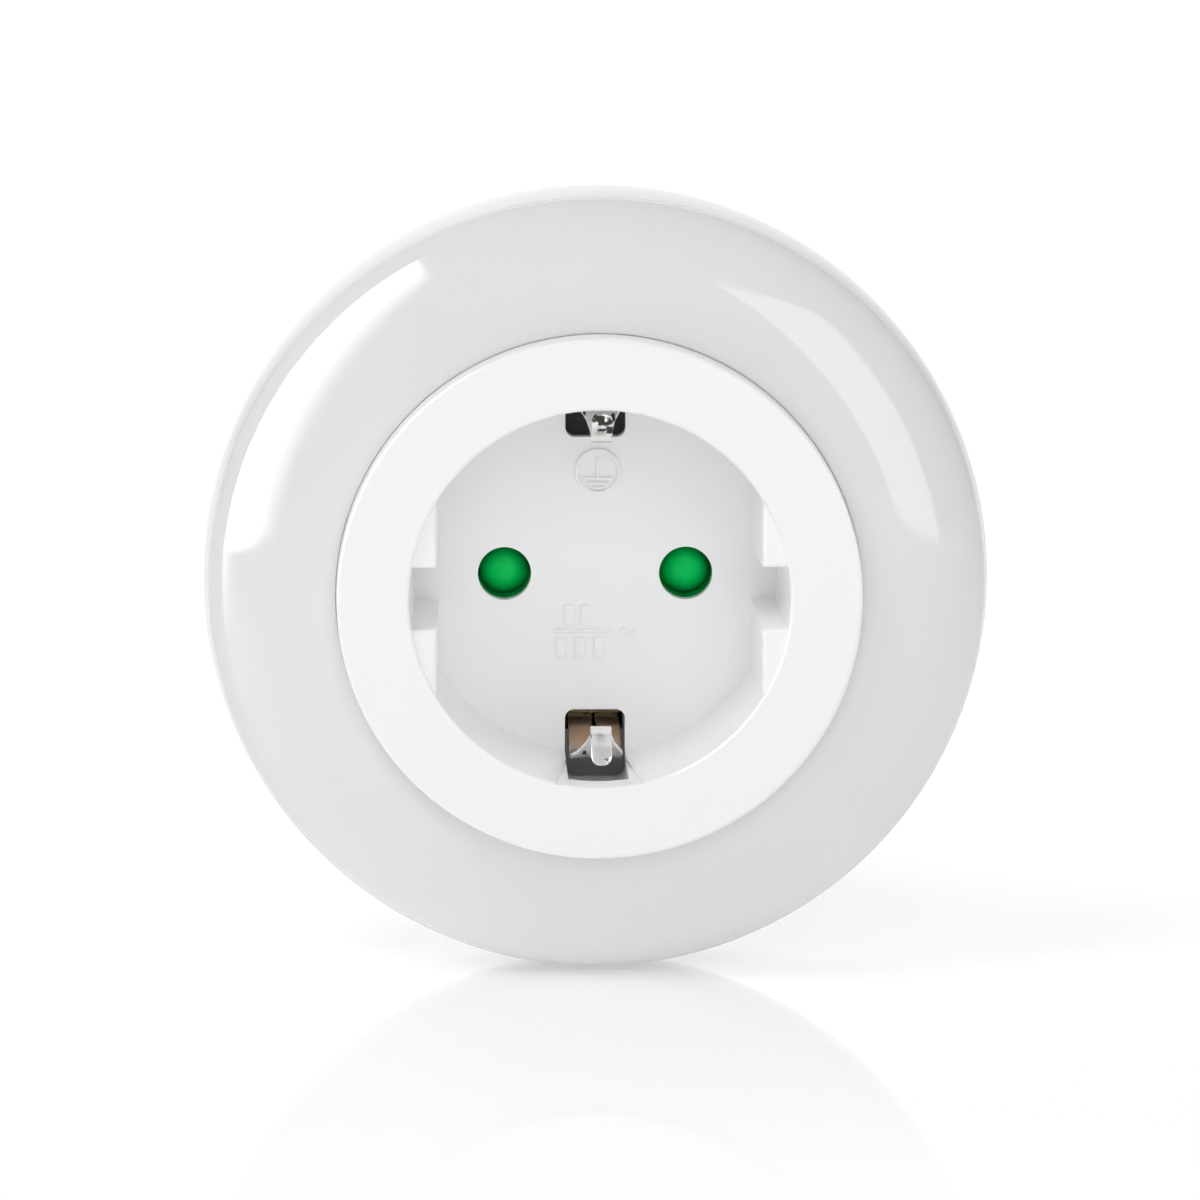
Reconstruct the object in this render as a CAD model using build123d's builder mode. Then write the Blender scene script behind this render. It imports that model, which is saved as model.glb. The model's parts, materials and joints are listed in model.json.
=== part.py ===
from build123d import *

import os
from math import cos, hypot, radians, sin

os.makedirs("parts", exist_ok=True)

# Plug-in night light with a pass-through earthed socket.
# The origin is on the socket's axis at the wall plane, where the back of the housing rests.
# Heights are measured from the wall plane towards the room, so the rim is high and the plug's
# pins are negative. Plane.XZ.offset(h) lies at height h, with X to the right and Z up.
# All sizes are in millimetres.

# Socket face and recess
rim_height = 25.5
recess_depth = 17.5
mouth_radius = 19.8
recess_taper = 0.7
collar_width = 7.5
collar_edge = 0.4
cup_wall = 1.7
floor_wall = 1.4
flange_width = 1.7
flange_thickness = 1.5
pin_spacing = 19.0
pin_hole_radius = 2.8

# Keying blocks at the sides of the recess
key_depth = 3.45
key_notch_half = 2.7
key_drop = 0.7
key_draft = 1.85
key_corner = 1.0
key_edge = 0.5

# Earth windows at the top and bottom of the recess
window_half = 3.15
window_foot_clearance = 2.05
window_behind = 2.0
window_corner = 1.0
window_below_rim = 3.4
pocket_wall = 1.25
facet_half = 4.65
facet_step = 0.35
facet_depth = 13.5

# Diffuser dome
collar_proud = 3.5
dome_rise = 7.75
diffuser_wall = 2.0
spigot_depth = 3.3
spigot_wall = 1.2
spigot_inset = 1.5

# Rear housing
bulge_radius = 41.05
lip_tuck = 0.45
bulge_drop = 4.95
back_wall = 2.0
back_edge = 3.0
step_width = 0.8

# Wall plug
plug_radius = 18.4
plug_length = 17.0
plug_flat_depth = 2.2
plug_wall = 2.0
nose_wall = 2.5
nose_edge = 0.8
rib_tuck = 0.3
rib_half = 2.5
groove_half = 3.2
groove_depth = 3.2
groove_end = 8.5
groove_wall = 1.0
pin_radius = 2.4
pin_length = 19.0
pin_tip_edge = 1.4
pin_neck_radius = 2.6
pin_head_radius = 3.2
pin_tail_radius = 1.3
pin_rivet_radius = 2.0
pin_rivet_height = 0.5

# Shutter, its cage and its spring
chamber_depth = 7.0
shutter_height = 6.8
shutter_travel = 6.2
pad_half = 3.3
pad_lip = 0.8
pad_ramp_drop = 3.4
peg_radius = 1.2
peg_length = 1.5
spring_radius = 1.625
spring_wire = 0.35
spring_turns = 7
spring_closed = 3.3
cage_thickness = 1.5
cage_hole_radius = 2.9
cage_rail_height = 3.0
cage_rail_margin = 1.0
cage_post_radius = 2.0
upper_post = (4.0, 10.0)
lower_post = (6.0, 12.5)
seat_half = 2.6
seat_thickness = 1.7

# Contacts and their carrier
contact_width = 6.0
leaf_thickness = 0.7
leaf_grip = 2.3
leaf_foot = 2.9
leaf_flare = 3.3
leaf_grip_share = 0.7
base_thickness = 0.8
tab_width = 2.0
tab_reach = 13.0
contact_pocket_half = 4.4

# Earth yoke and sprung earth clips
yoke_half = 2.8
yoke_thickness = 1.0
arm_half = 2.4
arm_depth = 1.9
arm_end = 15.6
clip_thickness = 0.6
clip_root_half = 2.7
clip_tongue_half = 1.25
clip_tongue_offset = 0.4
clip_foot = 7.0
clip_bend_start = 5.0
clip_root_inset = 0.65
clip_root_start = 0.6
clip_root_end = 3.0
clip_shoulder_start = 2.0
clip_shoulder_end = 4.0
clip_nose_inset = 4.73
clip_tip_inset = 1.3
clip_nose_height = 7.3
clip_tip_height = 12.7
clip_bend = 1.2
clip_slit_half = 0.3
clip_slit_start = -3.5
clip_slit_end = 6.5
rivet_height = 5.8
rivet_shank = 0.7
rivet_head = 1.1
rivet_head_height = 0.35

# Light ring
board_clearance = 3.0
board_thickness = 1.6
board_below_parting = 2.75
led_count = 12
led_length = 3.5
led_width = 2.8
led_height = 0.7
post_radius = 2.6
post_count = 3
post_from_edge = 2.6

# Parts on the light ring
film_size = (12.0, 7.2, 6.0)
film_edge = 0.8
smoothing_radius = 3.15
smoothing_height = 7.0
smoothing_edge = 0.4
rectifier_size = (4.7, 4.0, 2.5)
fuse_radius = 1.6
fuse_length = 9.0
chip_size = (3.2, 1.6, 0.6)
chip_count = 6
chip_from_edge = 2.0
transistor_size = (4.5, 2.5, 1.5)
sensor_radius = 1.5
sensor_height = 2.6
sensor_edge = 1.2
sensor_offset = 2.0
lead_landing = 3.4
lead_radius = 0.8
lead_from_tab_end = 1.0
lead_bend = 2.4

# Screws
boss_radius = 2.6
boss_bore = 1.5
boss_bore_depth = 12.0
pillar_radius = 4.4
pillar_height = 4.8
counterbore_radius = 3.0
counterbore_depth = 3.0
case_screw_head = 2.7
case_screw_head_height = 2.1
case_screw_shank = 1.4
case_screw_length = 13.0
board_screw_head = 2.1
board_screw_head_height = 1.5
board_screw_shank = 1.0
board_screw_length = 6.0
drive_slot = 0.8
drive_depth = 1.0
drive_share = 0.65

# Clearances
dome_clearance = 0.15
flange_clearance = 0.25
parting_gap = 0.15
spigot_clearance = 0.1
fit_clearance = 0.3
hole_clearance = 0.1
rivet_clearance = 0.15
slide_clearance = 0.3
spring_clearance = 0.1

# How far from its stated place an edge or corner may be when it is picked for a fillet
pick_distance = 0.01

# Heights worked out from the sizes above
floor_height = rim_height - recess_depth
floor_under = floor_height - floor_wall
plate_under = rim_height - cup_wall
parting_height = rim_height - collar_proud - dome_rise
diffuser_top = parting_height + dome_rise
flange_top = diffuser_top - diffuser_wall - flange_clearance
flange_bottom = flange_top - flange_thickness
window_top = rim_height - window_below_rim
nose_height = -plug_length
nose_inner = nose_height + nose_wall
cage_top = floor_under - chamber_depth
cage_bottom = cage_top - cage_thickness
base_under = nose_inner + 2 * base_thickness
base_top = base_under + base_thickness
board_front = parting_height - board_below_parting
board_back = board_front - board_thickness
spigot_bottom = parting_height - spigot_depth
lip_top = parting_height - parting_gap
bulge_height = parting_height - bulge_drop

# Radii and places worked out from the sizes above
floor_radius = mouth_radius - recess_taper
collar_radius = mouth_radius + collar_width
key_face = mouth_radius - key_depth
window_outer = mouth_radius + window_behind
facet_reach = mouth_radius - facet_step
cup_outer = mouth_radius + cup_wall
skirt_inner = collar_radius - cup_wall
flange_radius = collar_radius + flange_width
dome_inner = collar_radius + dome_clearance
parting_radius = bulge_radius - lip_tuck
dome_width = parting_radius - dome_inner
spigot_outer = parting_radius - spigot_inset
spigot_inner = spigot_outer - spigot_wall
lip_inner = spigot_outer + spigot_clearance
wall_inner = lip_inner - step_width
board_outer = spigot_inner - fit_clearance
board_inner = cup_outer + board_clearance
plug_flat = plug_radius - plug_flat_depth
rib_reach = plug_radius - rib_tuck
groove_floor = plug_radius - groove_depth
cavity_radius = plug_radius - plug_wall
cavity_flat = plug_flat - plug_wall
cage_radius = cavity_radius - fit_clearance
cage_flat = cavity_flat - fit_clearance
boss_ring = (cup_outer + skirt_inner) / 2
post_ring = board_outer - post_from_edge
led_ring = (board_inner + board_outer) / 2
pin_x = pin_spacing / 2
shutter_half = pin_x + pad_half
tab_inner = pin_x - contact_width / 2
tab_outer = tab_inner + tab_width
lead_stand = ((tab_inner + tab_outer) / 2, tab_reach - lead_from_tab_end)
arm_face = plug_radius - arm_depth
window_inner = arm_face - window_foot_clearance
clip_root_face = mouth_radius - clip_root_inset
clip_nose_face = mouth_radius - clip_nose_inset
clip_tip_face = mouth_radius - clip_tip_inset
spring_axis_height = floor_under - chamber_depth / 2
spring_length = shutter_travel + spring_closed
spring_top = -shutter_height / 2 - spring_clearance
spring_bottom = spring_top - spring_length

# Turned profiles: radius across, height towards the room
section = Plane((0, 0, 0), x_dir=(1, 0, 0), z_dir=(0, 0, -1))
# Bent strips seen from the side: world Z across, height towards the room
side_view = Plane((0, 0, 0), x_dir=(0, 0, 1), z_dir=(1, 0, 0))
both_sides = (-1, 1)


def finish(piece, name):
    """Label one finished sub-part and write it to its own file."""
    piece.label = name
    export_step(piece, f"parts/{name}.step")


def outward(angle, radius, height):
    """A plane at a place on the light ring, lying flat, with its X axis pointing outwards."""
    across = cos(radians(angle))
    up = sin(radians(angle))
    return Plane((radius * across, -height, radius * up), x_dir=(across, 0, up), z_dir=(0, -1, 0))


# Socket cup: recess, collar, skirt and the flange that holds the diffuser's inner edge
with BuildPart() as socket_cup:
    with BuildSketch(section):
        with BuildLine():
            Polyline(
                (0, floor_height),
                (floor_radius, floor_height),
                (mouth_radius, rim_height),
                (collar_radius, rim_height),
                (collar_radius, flange_top),
                (flange_radius, flange_top),
                (flange_radius, flange_bottom),
                (skirt_inner, flange_bottom),
                (skirt_inner, plate_under),
                (cup_outer, plate_under),
                (cup_outer, floor_under),
                (0, floor_under),
                close=True,
            )
        make_face()
    revolve(axis=Axis.Y)
    rim_edges = socket_cup.edges().filter_by(GeomType.CIRCLE).group_by(Axis.Y)[0]
    fillet(rim_edges, collar_edge)

    # keying blocks: the part of the recess beyond a flat on each side, with a notch for the plug's rib
    with BuildSketch(Plane.XZ.offset(floor_height)):
        for side in both_sides:
            with Locations((side * (key_face + cup_outer) / 2, 0)):
                Rectangle(cup_outer - key_face, 2 * mouth_radius)
        Circle(cup_outer - cup_wall / 4, mode=Mode.INTERSECT)
        Rectangle(3 * mouth_radius, 2 * key_notch_half, mode=Mode.SUBTRACT)
        notch_corners = [
            corner for corner in vertices()
            if abs(abs(corner.Z) - key_notch_half) < pick_distance and abs(corner.X) < mouth_radius
        ]
        fillet(notch_corners, key_corner)
    extrude(amount=recess_depth - key_drop, taper=key_draft)
    key_front = key_drop - rim_height
    key_fronts = socket_cup.edges().filter_by(GeomType.LINE).filter_by_position(
        Axis.Y, key_front - pick_distance, key_front + pick_distance
    )
    fillet(key_fronts, key_edge)

    # closed pockets behind the recess wall, where the earth clips spring outwards
    with BuildSketch(Plane.XZ.offset(floor_under)):
        for side in both_sides:
            pocket_outer = window_outer + pocket_wall
            pocket_middle = side * (mouth_radius + cup_wall / 2 + pocket_outer) / 2
            with Locations((0, pocket_middle)):
                Rectangle(
                    2 * (window_half + pocket_wall),
                    pocket_outer - mouth_radius - cup_wall / 2,
                )
    extrude(amount=plate_under - floor_under)

    with BuildSketch(Plane.XZ.offset(pillar_height)):
        with PolarLocations(boss_ring, 4, start_angle=45):
            Circle(boss_radius)
    extrude(amount=plate_under - pillar_height)
    with BuildSketch(Plane.XZ.offset(pillar_height)):
        with PolarLocations(boss_ring, 4, start_angle=45):
            Circle(boss_bore)
    extrude(amount=boss_bore_depth, mode=Mode.SUBTRACT)

    # earth windows, cut through the floor and up the recess wall
    with BuildSketch(Plane.XZ.offset(floor_under)):
        for side in both_sides:
            with Locations((0, side * (window_inner + window_outer) / 2)):
                RectangleRounded(2 * window_half, window_outer - window_inner, window_corner)
    extrude(amount=window_top - floor_under, mode=Mode.SUBTRACT)

    # shallow flat facets that lead the clips in beside each window
    with BuildSketch(section):
        with BuildLine():
            Polyline(
                (-facet_half, rim_height + collar_edge),
                (facet_half, rim_height + collar_edge),
                (window_half, rim_height - facet_depth),
                (-window_half, rim_height - facet_depth),
                close=True,
            )
        make_face()
    extrude(amount=facet_reach, both=True, mode=Mode.SUBTRACT)

    with BuildSketch(Plane.XZ.offset(floor_under)):
        with GridLocations(pin_spacing, 1, 2, 1):
            Circle(pin_hole_radius)
    extrude(amount=floor_wall, mode=Mode.SUBTRACT)
finish(socket_cup.part, "socket_cup")


# Diffuser: a milky dome between the collar and the housing, with a spigot that locates in the lip
with BuildPart() as diffuser:
    with BuildSketch(section):
        with Locations((dome_inner, parting_height)):
            Ellipse(dome_width, dome_rise)
            Ellipse(dome_width - diffuser_wall, dome_rise - diffuser_wall, mode=Mode.SUBTRACT)
            Rectangle(dome_width, dome_rise, align=(Align.MIN, Align.MIN), mode=Mode.INTERSECT)
        with Locations((spigot_inner, spigot_bottom)):
            Rectangle(
                spigot_wall,
                spigot_depth + spigot_wall,
                align=(Align.MIN, Align.MIN),
            )
    revolve(axis=Axis.Y)
finish(diffuser.part, "diffuser")


# Rear housing: shallow tray with a bulged side, and the hollow wall plug on its back
with BuildPart() as rear_housing:
    with BuildSketch(section):
        with BuildLine():
            foot_height = 2 * bulge_height - lip_top
            ThreePointArc(
                (parting_radius, lip_top),
                (bulge_radius, bulge_height),
                (parting_radius, foot_height),
            )
            Polyline(
                (parting_radius, foot_height),
                (parting_radius - lip_tuck, 0),
                (0, 0),
                (0, back_wall),
                (wall_inner, back_wall),
                (wall_inner, spigot_bottom),
                (lip_inner, spigot_bottom),
                (lip_inner, lip_top),
                (parting_radius, lip_top),
            )
        make_face()
    revolve(axis=Axis.Y)
    back_corner = rear_housing.edges().filter_by(GeomType.CIRCLE).group_by(Axis.Y)[-1]
    fillet(back_corner, back_edge)

    # plug body: round, flattened at the sides, with a rib along each flat
    with BuildSketch(Plane.XZ):
        Circle(plug_radius)
        Rectangle(2 * plug_flat, 2 * plug_radius, mode=Mode.INTERSECT)
        Rectangle(2 * rib_reach, 2 * rib_half)
    extrude(amount=-plug_length)
    nose_face = rear_housing.faces().sort_by(Axis.Y)[-1]
    chamfer(nose_face.edges(), nose_edge)

    # open grooves for the plug's earth arms
    with BuildSketch(Plane.XZ.offset(nose_height)):
        for side in both_sides:
            with Locations((0, side * (groove_floor + plug_radius) / 2)):
                Rectangle(2 * groove_half, plug_radius - groove_floor)
    extrude(amount=plug_length - groove_end, mode=Mode.SUBTRACT)

    # upper cavity, with a pocket above each groove for the foot of the earth clip
    with BuildSketch(Plane.XZ.offset(-groove_end + groove_wall)):
        Circle(cavity_radius)
        Rectangle(2 * cavity_flat, 2 * cavity_radius, mode=Mode.INTERSECT)
        Rectangle(2 * (yoke_half + fit_clearance), 2 * (plug_radius - plug_wall / 2 + 0.2))
    extrude(amount=groove_end - groove_wall + back_wall, mode=Mode.SUBTRACT)

    # lower cavity, which leaves a wall behind each groove
    with BuildSketch(Plane.XZ.offset(nose_inner)):
        Circle(cavity_radius)
        Rectangle(2 * cavity_flat, 2 * cavity_radius, mode=Mode.INTERSECT)
        for side in both_sides:
            with Locations((0, side * (groove_floor - groove_wall + cavity_radius) / 2)):
                Rectangle(
                    2 * (groove_half + groove_wall),
                    cavity_radius - groove_floor + groove_wall,
                    mode=Mode.SUBTRACT,
                )
    extrude(amount=-groove_end + groove_wall - nose_inner, mode=Mode.SUBTRACT)

    # slots that let the earth arms out into the grooves
    with BuildSketch(Plane.XZ.offset(-groove_end)):
        for side in both_sides:
            with Locations((0, side * (arm_face - yoke_thickness / 2))):
                Rectangle(
                    2 * (arm_half + hole_clearance),
                    yoke_thickness + 2 * hole_clearance,
                )
    extrude(amount=groove_wall, mode=Mode.SUBTRACT)

    with BuildSketch(Plane.XZ.offset(nose_height)):
        with GridLocations(pin_spacing, 1, 2, 1):
            Circle(pin_neck_radius + hole_clearance / 2)
    extrude(amount=nose_wall, mode=Mode.SUBTRACT)

    # pillars under the cup's bosses, bored and counterbored from behind
    with BuildSketch(Plane.XZ):
        with PolarLocations(boss_ring, 4, start_angle=45):
            Circle(pillar_radius)
    extrude(amount=pillar_height)
    with BuildSketch(Plane.XZ):
        with PolarLocations(boss_ring, 4, start_angle=45):
            Circle(counterbore_radius)
    extrude(amount=counterbore_depth, mode=Mode.SUBTRACT)
    with BuildSketch(Plane.XZ.offset(counterbore_depth)):
        with PolarLocations(boss_ring, 4, start_angle=45):
            Circle(boss_bore + hole_clearance)
    extrude(amount=pillar_height - counterbore_depth, mode=Mode.SUBTRACT)

    # posts that carry the light ring
    with BuildSketch(Plane.XZ.offset(back_wall)):
        with PolarLocations(post_ring, post_count, start_angle=90):
            Circle(post_radius)
    extrude(amount=board_back - back_wall)
    with BuildSketch(Plane.XZ.offset(board_back)):
        with PolarLocations(post_ring, post_count, start_angle=90):
            Circle(board_screw_shank + hole_clearance)
    extrude(amount=-board_screw_length, mode=Mode.SUBTRACT)
finish(rear_housing.part, "rear_housing")


# Shutter: two wedge pads behind the pin holes, joined by a bridge that pushes on the spring
shutter_front = floor_under - slide_clearance
shutter_back = cage_top + slide_clearance
half_height = shutter_height / 2
with BuildPart() as shutter:
    for side in both_sides:
        with BuildSketch(side_view.offset(side * pin_x)):
            with BuildLine():
                Polyline(
                    (-half_height, shutter_back),
                    (-half_height, shutter_front),
                    (-half_height + pad_lip, shutter_front),
                    (half_height, shutter_front - pad_ramp_drop),
                    (half_height, shutter_back),
                    close=True,
                )
            make_face()
        extrude(amount=pad_half, both=True)
    with BuildSketch(Plane.XZ.offset(shutter_back)):
        with Locations((0, -half_height / 2)):
            Rectangle(2 * (pin_x - pad_half), half_height)
    extrude(amount=shutter_front - shutter_back)
    with BuildSketch(Plane.XY.offset(-half_height)):
        with Locations((0, -spring_axis_height)):
            Circle(peg_radius)
    extrude(amount=-peg_length)
finish(shutter.part, "shutter")


# Shutter cage: floor of the shutter's chamber, with rails, posts up to the cup and the spring's seat
with BuildPart() as shutter_cage:
    with BuildSketch(Plane.XZ.offset(cage_bottom)):
        Circle(cage_radius)
        Rectangle(2 * cage_flat, 2 * cage_radius, mode=Mode.INTERSECT)
        with GridLocations(pin_spacing, 1, 2, 1):
            Circle(cage_hole_radius, mode=Mode.SUBTRACT)
        for side in both_sides:
            with Locations((side * lead_stand[0], lead_stand[1])):
                Circle(lead_radius + fit_clearance, mode=Mode.SUBTRACT)
    extrude(amount=cage_thickness)
    with BuildSketch(Plane.XZ.offset(cage_top)):
        for side in both_sides:
            with Locations((side * (shutter_half + slide_clearance + cage_flat) / 2, -shutter_travel / 2)):
                Rectangle(
                    cage_flat - shutter_half - slide_clearance,
                    shutter_height + shutter_travel + 2 * cage_rail_margin,
                )
        Circle(cage_radius, mode=Mode.INTERSECT)
    extrude(amount=cage_rail_height)
    with BuildSketch(Plane.XZ.offset(cage_top)):
        for side in both_sides:
            with Locations((side * upper_post[0], upper_post[1])):
                Circle(cage_post_radius)
            with Locations((side * lower_post[0], -lower_post[1])):
                Circle(cage_post_radius)
        with Locations((0, spring_bottom - spring_clearance - seat_thickness / 2)):
            Rectangle(2 * seat_half, seat_thickness)
    extrude(amount=chamber_depth)
    with BuildSketch(Plane.XY.offset(spring_bottom - spring_clearance)):
        with Locations((0, -spring_axis_height)):
            Circle(peg_radius)
    extrude(amount=peg_length)
finish(shutter_cage.part, "shutter_cage")


# Return spring under the shutter
with BuildPart() as shutter_spring:
    coil_height = spring_length - spring_wire
    coil_start = (0, -spring_axis_height, spring_bottom + spring_wire / 2)
    with BuildLine(Plane(coil_start)) as coil:
        Helix(pitch=coil_height / spring_turns, height=coil_height, radius=spring_radius)
    with BuildSketch(Plane(coil.line @ 0, z_dir=coil.line % 0)):
        Circle(spring_wire / 2)
    sweep(path=coil.line, is_frenet=True)
finish(shutter_spring.part, "shutter_spring")


# Contact carrier: moulded block in the plug that keeps the two contacts and the earth yoke apart
with BuildPart() as contact_carrier:
    with BuildSketch(Plane.XZ.offset(nose_inner)):
        Circle(cage_radius)
        Rectangle(2 * cage_flat, 2 * cage_radius, mode=Mode.INTERSECT)
        for side in both_sides:
            clear_wall = groove_floor - groove_wall - fit_clearance
            with Locations((0, side * (clear_wall + cavity_radius) / 2)):
                Rectangle(
                    2 * (groove_half + groove_wall + fit_clearance),
                    cavity_radius - clear_wall,
                    mode=Mode.SUBTRACT,
                )
    extrude(amount=cage_bottom - nose_inner)

    # channel for the yoke's crossbar
    with BuildSketch(Plane.XZ.offset(cage_bottom)):
        Rectangle(2 * (yoke_half + hole_clearance), 2 * cage_radius)
    extrude(amount=-yoke_thickness - hole_clearance, mode=Mode.SUBTRACT)

    # a pocket for each contact, with a channel for its solder tab and lead
    with BuildSketch(Plane.XZ.offset(base_under)):
        with GridLocations(pin_spacing, 1, 2, 1):
            Rectangle(contact_width + 2 * fit_clearance, 2 * contact_pocket_half)
        for side in both_sides:
            with Locations((side * (tab_inner + tab_outer) / 2, cage_radius / 2)):
                Rectangle(tab_outer - tab_inner + 2 * fit_clearance, cage_radius)
    extrude(amount=cage_bottom - base_under, mode=Mode.SUBTRACT)
    with BuildSketch(Plane.XZ.offset(nose_inner)):
        with GridLocations(pin_spacing, 1, 2, 1):
            Circle(pin_head_radius + hole_clearance)
    extrude(amount=base_under - nose_inner, mode=Mode.SUBTRACT)
finish(contact_carrier.part, "contact_carrier")


def make_contact(side):
    """A sprung contact: two leaves that grip a pin, on a base riveted to the plug pin behind it."""
    leaf_top = cage_bottom - fit_clearance
    leaf_rise = leaf_top - base_top
    with BuildPart() as contact:
        with BuildSketch(Plane.XZ.offset(base_under)):
            with Locations((side * pin_x, 0)):
                Rectangle(contact_width, 2 * (leaf_foot + leaf_thickness))
            with Locations((side * (tab_inner + tab_outer) / 2, tab_reach / 2)):
                Rectangle(tab_outer - tab_inner, tab_reach)
            with Locations((side * pin_x, 0)):
                Circle(pin_tail_radius + hole_clearance / 2, mode=Mode.SUBTRACT)
        extrude(amount=base_thickness)
        for leaf in both_sides:
            with BuildSketch(side_view.offset(side * pin_x)):
                with BuildLine():
                    Polyline(
                        (leaf * leaf_foot, base_top),
                        (leaf * leaf_grip, base_top + leaf_grip_share * leaf_rise),
                        (leaf * leaf_flare, leaf_top),
                        (leaf * (leaf_flare + leaf_thickness), leaf_top),
                        (leaf * (leaf_grip + leaf_thickness), base_top + leaf_grip_share * leaf_rise),
                        (leaf * (leaf_foot + leaf_thickness), base_top),
                        close=True,
                    )
                make_face()
            extrude(amount=contact_width / 2, both=True)
    return contact.part


def make_plug_pin(side):
    """A round plug pin: neck through the nose, head inside it, tail riveted over the contact's base."""
    with BuildPart() as pin:
        with BuildSketch(Plane.XZ.offset(nose_height - pin_length)):
            with Locations((side * pin_x, 0)):
                Circle(pin_radius)
        extrude(amount=pin_length)
        tip = pin.faces().sort_by(Axis.Y)[-1]
        fillet(tip.edges(), pin_tip_edge)
        with BuildSketch(Plane.XZ.offset(nose_height)):
            with Locations((side * pin_x, 0)):
                Circle(pin_neck_radius)
        extrude(amount=nose_wall)
        with BuildSketch(Plane.XZ.offset(nose_inner)):
            with Locations((side * pin_x, 0)):
                Circle(pin_head_radius)
        extrude(amount=base_under - nose_inner)
        with BuildSketch(Plane.XZ.offset(base_under)):
            with Locations((side * pin_x, 0)):
                Circle(pin_tail_radius)
        extrude(amount=base_thickness + pin_rivet_height)
        with BuildSketch(Plane.XZ.offset(base_top)):
            with Locations((side * pin_x, 0)):
                Circle(pin_rivet_radius)
        extrude(amount=pin_rivet_height)
    return pin.part


def make_lead(side):
    """Insulated lead from a contact's solder tab to the back of the light ring."""
    stand_x = side * lead_stand[0]
    stand_z = lead_stand[1]
    bend_height = (floor_under + back_wall) / 2
    landing = (board_inner + lead_landing) / hypot(stand_x, stand_z)
    with BuildPart() as lead:
        with BuildLine() as route:
            FilletPolyline(
                (stand_x, -base_top, stand_z),
                (stand_x, -bend_height, stand_z),
                (stand_x * landing, -bend_height, stand_z * landing),
                (stand_x * landing, -board_back, stand_z * landing),
                radius=lead_bend,
            )
        with BuildSketch(Plane(route.line @ 0, z_dir=route.line % 0)):
            Circle(lead_radius)
        sweep(path=route.line)
    return lead.part


for wire, side in (("line", 1), ("neutral", -1)):
    finish(make_contact(side), f"{wire}_contact")
    finish(make_plug_pin(side), f"{wire}_pin")
    finish(make_lead(side), f"{wire}_lead")


# Earth yoke: crossbar between the contacts, and an arm back along each groove of the plug
with BuildPart() as earth_yoke:
    with BuildSketch(Plane.XZ.offset(cage_bottom)):
        Rectangle(2 * yoke_half, 2 * arm_face)
    extrude(amount=-yoke_thickness)
    with BuildSketch(Plane.XZ.offset(cage_bottom - yoke_thickness)):
        for side in both_sides:
            with Locations((0, side * (arm_face - yoke_thickness / 2))):
                Rectangle(2 * arm_half, yoke_thickness)
    extrude(amount=-arm_end - cage_bottom + yoke_thickness)
    with BuildSketch(Plane.XY):
        with Locations((0, rivet_height)):
            Circle(rivet_shank + hole_clearance / 2)
    extrude(amount=arm_face, both=True, mode=Mode.SUBTRACT)
finish(earth_yoke.part, "earth_yoke")


def make_earth_clip(side):
    """Bent spring strip: foot on the yoke's arm, wide root, narrow tongue with a nose into the recess."""
    foot_line = arm_face + clip_thickness / 2
    shoulder_start = floor_height + clip_shoulder_start
    shoulder_end = floor_height + clip_shoulder_end
    with BuildPart() as clip:
        with BuildSketch(side_view):
            with BuildLine():
                FilletPolyline(
                    (side * foot_line, -clip_foot),
                    (side * foot_line, clip_bend_start),
                    (side * clip_root_face, floor_height + clip_root_start),
                    (side * clip_root_face, floor_height + clip_root_end),
                    (side * clip_nose_face, floor_height + clip_nose_height),
                    (side * clip_tip_face, floor_height + clip_tip_height),
                    radius=clip_bend,
                )
            trace(line_width=clip_thickness)
        extrude(amount=clip_root_half, both=True)
        with BuildSketch(section):
            with Locations((0, -clip_foot)):
                Rectangle(
                    2 * clip_root_half,
                    clip_foot + shoulder_start,
                    align=(Align.CENTER, Align.MIN),
                )
            with BuildLine():
                Polyline(
                    (-clip_root_half, shoulder_start),
                    (clip_root_half, shoulder_start),
                    (clip_tongue_offset + clip_tongue_half, shoulder_end),
                    (clip_tongue_offset - clip_tongue_half, shoulder_end),
                    close=True,
                )
            make_face()
            tongue_end = floor_height + clip_tip_height - clip_tongue_half + clip_thickness / 2
            with Locations((clip_tongue_offset, shoulder_end)):
                Rectangle(
                    2 * clip_tongue_half,
                    tongue_end - shoulder_end,
                    align=(Align.CENTER, Align.MIN),
                )
            with Locations((clip_tongue_offset, tongue_end)):
                Circle(clip_tongue_half)
        extrude(amount=2 * arm_face, both=True, mode=Mode.INTERSECT)
        with BuildSketch(section):
            with Locations((0, (clip_slit_start + clip_slit_end) / 2)):
                SlotOverall(clip_slit_end - clip_slit_start, 2 * clip_slit_half, rotation=90)
        extrude(amount=2 * arm_face, both=True, mode=Mode.SUBTRACT)
        with BuildSketch(Plane.XY):
            with Locations((0, rivet_height)):
                Circle(rivet_shank + rivet_clearance)
        extrude(amount=side * 2 * arm_face, mode=Mode.SUBTRACT)
    return clip.part


for place, side in (("top", 1), ("bottom", -1)):
    finish(make_earth_clip(side), f"earth_clip_{place}")


# Rivets that hold the clips' feet on the yoke's arms
with BuildPart() as earth_rivets:
    for side in both_sides:
        shank_inner = arm_face - yoke_thickness
        head_outer = arm_face + clip_thickness + rivet_clearance
        with BuildSketch(Plane.XY.offset(side * shank_inner)):
            with Locations((0, rivet_height)):
                Circle(rivet_shank)
        extrude(amount=side * (head_outer - shank_inner))
        with BuildSketch(Plane.XY.offset(side * head_outer)):
            with Locations((0, rivet_height)):
                Circle(rivet_head)
        extrude(amount=side * rivet_head_height)
        with BuildSketch(Plane.XY.offset(side * shank_inner)):
            with Locations((0, rivet_height)):
                Circle(rivet_head)
        extrude(amount=-side * rivet_head_height)
finish(earth_rivets.part, "earth_rivets")


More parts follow.
